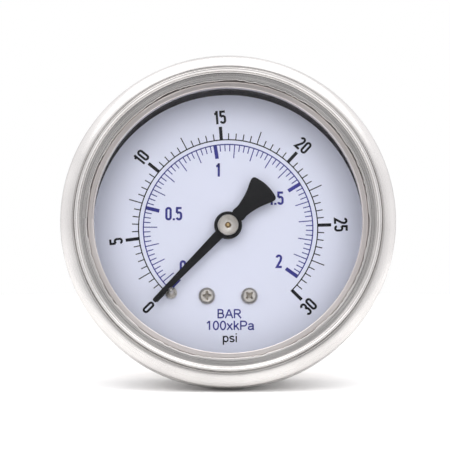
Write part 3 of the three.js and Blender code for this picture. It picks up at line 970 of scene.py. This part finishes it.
def smooth_outline(points, steps):
    """A closed outline rounded through its points."""
    made = []
    count = len(points)
    for i in range(count):
        p0, p1, p2, p3 = (Vector(points[(i + k - 1) % count]) for k in range(4))
        for s in range(steps):
            t = s / steps
            made.append(
                tuple(
                    0.5
                    * (
                        2 * p1
                        + (p2 - p0) * t
                        + (2 * p0 - 5 * p1 + 4 * p2 - p3) * t * t
                        + (3 * p1 - p0 - 3 * p2 + p3) * t * t * t
                    )
                )
            )
    return made


def make_pointer():
    """The black blade with its flared tail, and the turned bush in its middle."""
    tip, hub, thick, bush_hole = 22.05, 2.9, 0.5, 1.4
    neck_half, blade_half, tip_half = 1.25, 1.0, 0.5
    tail = [(-4.3, 1.38), (-5.6, 1.6), (-7, 1.95), (-8.3, 2.42), (-9.4, 2.92), (-10.1, 3.2),
            (-10.6, 3.3), (-10.95, 3.17), (-11.2, 2.8), (-11.42, 2.0), (-11.6, 1.0), (-11.66, 0)]
    lower = [(x, -z) for x, z in tail[:-1]]
    root = [(-2.6, -neck_half), *lower, *reversed(tail), (-2.6, neck_half)]
    tail_side = smooth_outline(root, 5)[1:-5]
    neck = math.degrees(math.asin(neck_half / hub))
    blade = math.degrees(math.asin(blade_half / hub))
    outline = [
        *tail_side,
        *arc(0, 0, hub, hub, 180 - neck, blade, 16),
        (tip - 0.35, tip_half),
        (tip - 0.08, 0.4),
        (tip, 0.2),
        (tip, -0.2),
        (tip - 0.08, -0.4),
        (tip - 0.35, -tip_half),
        *arc(0, 0, hub, hub, -blade, neck - 180, 16),
    ]
    front = depth_of(POINTER_Y)
    blade_piece = sheet("needle", outline, front, front + thick, LOOKS["pointer_black"])
    carve(blade_piece, cylinder(bush_hole, front - 1, front + 2))
    bevelled(blade_piece, 0.06, 3, 30)
    smooth(blade_piece, 40)
    place(blade_piece, turn=-POINTER_REST)
    stands_for(blade_piece, "pointer_blade", "pointer")

    face = depth_of(BUSH_Y)
    floor = face + 0.14  # the bush's face inside its raised rim
    bore, flange, waist, sleeve = 0.6, 2.18, 1.3, 1.8
    touch = 0.05
    profile = [
        (bore, floor + 0.06),
        (bore + 0.12, floor),
        (flange - 0.32, floor),
        *arc(flange - 0.16, floor, 0.15, 0.13, 180, 360, 10),
        (flange, face + 0.4),
        (flange, front - touch),
        (waist, front - touch),
        (waist, front + thick + touch),
        (sleeve, front + thick + touch),
        (sleeve, front + 2.1),
        (bore, front + 2.1),
    ]
    bush = lathe("hub_bush", profile, LOOKS["bush_nickel"], 96, 50)
    return stands_for(bush, "pointer_bush", "pointer")


def make_pinion():
    """The pinion's arbor, with the domed brass end that shows in the bush."""
    front = depth_of(low("pinion_shaft")[1])
    back = depth_of(high("pinion_shaft")[1])
    end = front - 0.12
    shaft_radius, back_pivot, shoulder = 0.55, 0.4, 21.4
    profile = [
        (0, end + 0.14),
        (0.14, end + 0.15),
        (0.16, end + 0.06),
        *arc(0.18, end + 0.26, 0.22, 0.2, -70, 0, 6),
        (0.42, end + 0.5),
        (shaft_radius, end + 0.6),
        (shaft_radius, shoulder - 0.1),
        (back_pivot, shoulder),
        (back_pivot, back),
        (0, back),
    ]
    shaft = lathe("pinion_arbor", profile, LOOKS["pinion_brass"], 48, 50)
    teeth, module, first_tooth = 10, 0.2, -54
    leaves_front, leaves_back = 18.2, 20.0
    pitch = teeth * module / 2
    # Radius and half thickness of a tooth, from its root to its top
    flank = [(pitch - 0.26, 0.15), (pitch, 0.113), (pitch + 0.1, 0.095), (pitch + 0.17, 0.055)]
    outline = []
    for i in range(teeth):
        middle = first_tooth + 360 / teeth * i
        for radius, half in flank:
            a = math.radians(middle) - half / radius
            outline.append((radius * math.cos(a), radius * math.sin(a)))
        for radius, half in reversed(flank):
            a = math.radians(middle) + half / radius
            outline.append((radius * math.cos(a), radius * math.sin(a)))
    leaves = sheet("cutter", outline, leaves_front, leaves_back, LOOKS["pinion_brass"])
    combine(shaft, "UNION", leaves)
    smooth(shaft, 35)
    return stands_for(shaft, "pinion_shaft", "pointer")


# Fill plug and tube


def make_plug():
    """The rubber plug, turned about its own axis and stood on top of the case."""
    inner_end, rim, top = 27.6, 31.3, 33.4  # heights over the gauge's axis
    neck, head = 3.7, 5.4
    profile = [
        (0, inner_end),
        (neck - 0.3, inner_end),
        (neck, inner_end + 0.3),
        (neck, rim),
        (head - 0.3, rim),
        (head, rim + 0.2),
        (head, rim + 1),
        *arc(head - 0.8, rim + 1.2, 0.8, 0.8, 0, 90, 8),
        (3.4, top),
        (3.1, top - 0.3),
        (0, top - 0.35),
    ]
    plug = lathe("rubber_plug", profile, LOOKS["plug_rubber"], 96, 45)
    spot = centre("fill_plug")
    to_top = Matrix.Translation((0, spot.y, 0)) @ Matrix.Rotation(math.pi / 2, 4, "X")
    plug.data.transform(to_top @ Matrix.Translation((0, -FRONT, 0)))
    return stands_for(plug, "fill_plug", "plug")


def make_tube():
    """The flat oval tube, its root held in the case, swept round an arc to its tip."""
    radius, depth = 22, 21
    root, tip = 256, -12
    half_thick, half_wide, wall = 1.1, 4.5, 0.35
    steps = 134

    def oval(half):
        """Radial and depth offsets round the tube's section."""
        reach = half_wide - half_thick
        return arc(0, reach, half, half, 0, 180, 7) + arc(0, -reach, half, half, 180, 360, 7)

    def spot(angle, out, along):
        a = math.radians(angle)
        r = (radius + out) * MM
        return Vector((r * math.cos(a), deep(depth + along), r * math.sin(a)))

    bm = bmesh.new()
    stations = []
    for i in range(steps + 1):
        angle = root + (tip - root) * i / steps
        walls = (oval(half_thick), oval(half_thick - wall))
        stations.append([[bm.verts.new(spot(angle, *p)) for p in loop] for loop in walls])
    count = len(stations[0][0])
    for here, there in zip(stations, stations[1:]):
        for a, b in zip(here, there):
            for i in range(count):
                k = (i + 1) % count
                bm.faces.new((a[i], a[k], b[k], b[i]))
    for outer, inner in (stations[0], stations[-1]):
        for i in range(count):
            k = (i + 1) % count
            bm.faces.new((outer[i], outer[k], inner[k], inner[i]))
    tube = new_object("tube_fine", bm, LOOKS["tube_bronze"])
    smooth(tube, 40)
    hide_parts("bourdon_tube")
    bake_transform(tube)
    return tube


# Studio


def make_camera():
    data = bpy.data.cameras.new("camera")
    data.lens = LENS
    data.sensor_width = SENSOR
    camera = bpy.data.objects.new("camera", data)
    bpy.context.scene.collection.objects.link(camera)
    front_centre = Vector((0, FRONT, 0))
    away = Vector((0, -math.cos(TILT), -math.sin(TILT)))
    camera.location = front_centre + away * CAMERA_DISTANCE
    side = Vector((1, 0, 0))
    up = side.cross(-away)
    target = front_centre - side * AIM_LEFT - up * AIM_UNDER
    camera.rotation_euler = (target - camera.location).to_track_quat("-Z", "Y").to_euler()
    bpy.context.scene.camera = camera
    return camera


def make_floor():
    """A pale round patch that slopes as the gauge lies on it."""
    bm = bmesh.new()
    normal = Vector((0, -math.sin(LEAN), math.cos(LEAN)))
    along = Vector((0, math.cos(LEAN), math.sin(LEAN)))
    sides, rings = 96, 10
    centre_point = FLOOR_CONTACT + along * 0.01
    previous = None
    for r in range(rings + 1):
        radius = FLOOR_RADIUS * (r / rings) ** 1.2
        ring = []
        for i in range(sides):
            a = 2 * math.pi * i / sides
            across = Vector((radius * math.cos(a), 0, 0))
            spot = centre_point + across + along * radius * math.sin(a)
            ring.append(bm.verts.new(spot))
        if previous:
            for i in range(sides):
                k = (i + 1) % sides
                bm.faces.new((previous[i], previous[k], ring[k], ring[i]))
        previous = ring
    bmesh.ops.remove_doubles(bm, verts=bm.verts, dist=1e-6)
    floor = new_object("floor", bm)
    for vertex in floor.data.vertices:
        vertex.co -= normal * 0.05 * MM
    s = Shader("floor_white", (0.88, 0.875, 0.87), 0.6)
    grain = s.noise(s.place(), 400, 2.0)
    s.tint(s.ramp(grain, 0, 1), (0.87, 0.865, 0.86), (0.89, 0.885, 0.88))
    floor.data.materials.append(s.material)
    return floor


def area_light(name, spot, aim, width, height, power, mirrored):
    """A soft panel; where it isn't mirrored, it lights matt surfaces only."""
    data = bpy.data.lights.new(name, "AREA")
    data.energy = power
    data.shape = "RECTANGLE"
    data.size = width
    data.size_y = height
    light = bpy.data.objects.new(name, data)
    bpy.context.scene.collection.objects.link(light)
    light.location = spot
    light.rotation_euler = (Vector(aim) - Vector(spot)).to_track_quat("-Z", "Y").to_euler()
    light.visible_glossy = mirrored


# How bright the room is, from behind the gauge (0) to straight in front of it (1).
ROOM = (
    (0.0, 1.05), (0.3, 1.2), (0.5, 1.36), (0.72, 1.35), (0.9, 1.15), (0.978, 1.0), (0.992, 0.06),
)


def make_world():
    """White as the camera sees it; what it lights with is dark straight in front of the gauge."""
    world = bpy.data.worlds.new("studio")
    bpy.context.scene.world = world
    world.use_nodes = True
    tree = world.node_tree
    background = tree.nodes["Background"]
    place = tree.nodes.new("ShaderNodeTexCoord")
    toward = tree.nodes.new("ShaderNodeVectorMath")
    toward.operation = "DOT_PRODUCT"
    toward.inputs[1].default_value = (0, -1, 0)
    tree.links.new(place.outputs["Generated"], toward.inputs[0])
    ramp = tree.nodes.new("ShaderNodeValToRGB")
    while len(ramp.color_ramp.elements) < len(ROOM):
        ramp.color_ramp.elements.new(0.5)
    for element, (at, value) in zip(ramp.color_ramp.elements, ROOM):
        element.position = at
        element.color = (value, value, value * 1.02, 1)
    spread = tree.nodes.new("ShaderNodeMapRange")
    spread.inputs["From Min"].default_value = -1
    tree.links.new(toward.outputs["Value"], spread.inputs["Value"])
    tree.links.new(spread.outputs["Result"], ramp.inputs["Fac"])
    seen = tree.nodes.new("ShaderNodeLightPath")
    choose = tree.nodes.new("ShaderNodeMix")
    choose.data_type = "RGBA"
    choose.inputs["B"].default_value = (1, 1, 1, 1)
    tree.links.new(seen.outputs["Is Camera Ray"], choose.inputs["Factor"])
    tree.links.new(ramp.outputs["Color"], choose.inputs["A"])
    tree.links.new(choose.outputs["Result"], background.inputs["Color"])


def make_studio():
    bpy.context.scene.view_settings.view_transform = "Standard"
    make_camera()
    make_floor()
    make_world()
    middle = (0, 0, 0)
    area_light("overhead", (0, -0.381, 0.59), (0, 0, 0.09), 0.85, 0.65, 2.7, True)
    area_light("left", (-0.75, -0.15, 0.3), middle, 0.5, 0.5, 1.1, False)
    area_light("right", (0.75, -0.15, 0.3), middle, 0.5, 0.5, 1.1, False)
    area_light("fill", (0, -0.9, 0.12), middle, 0.9, 0.5, 3.4, False)


make_bezel()
make_window_ring()
make_gasket()
make_window()
make_case()
make_dial()
make_dial_screw("dial_screw_a", "dial_screw_left", turn=0)
make_dial_screw("dial_screw_b", "dial_screw_right", turn=45)
make_stop_pin()
make_pointer()
make_pinion()
make_plug()
make_tube()
make_studio()
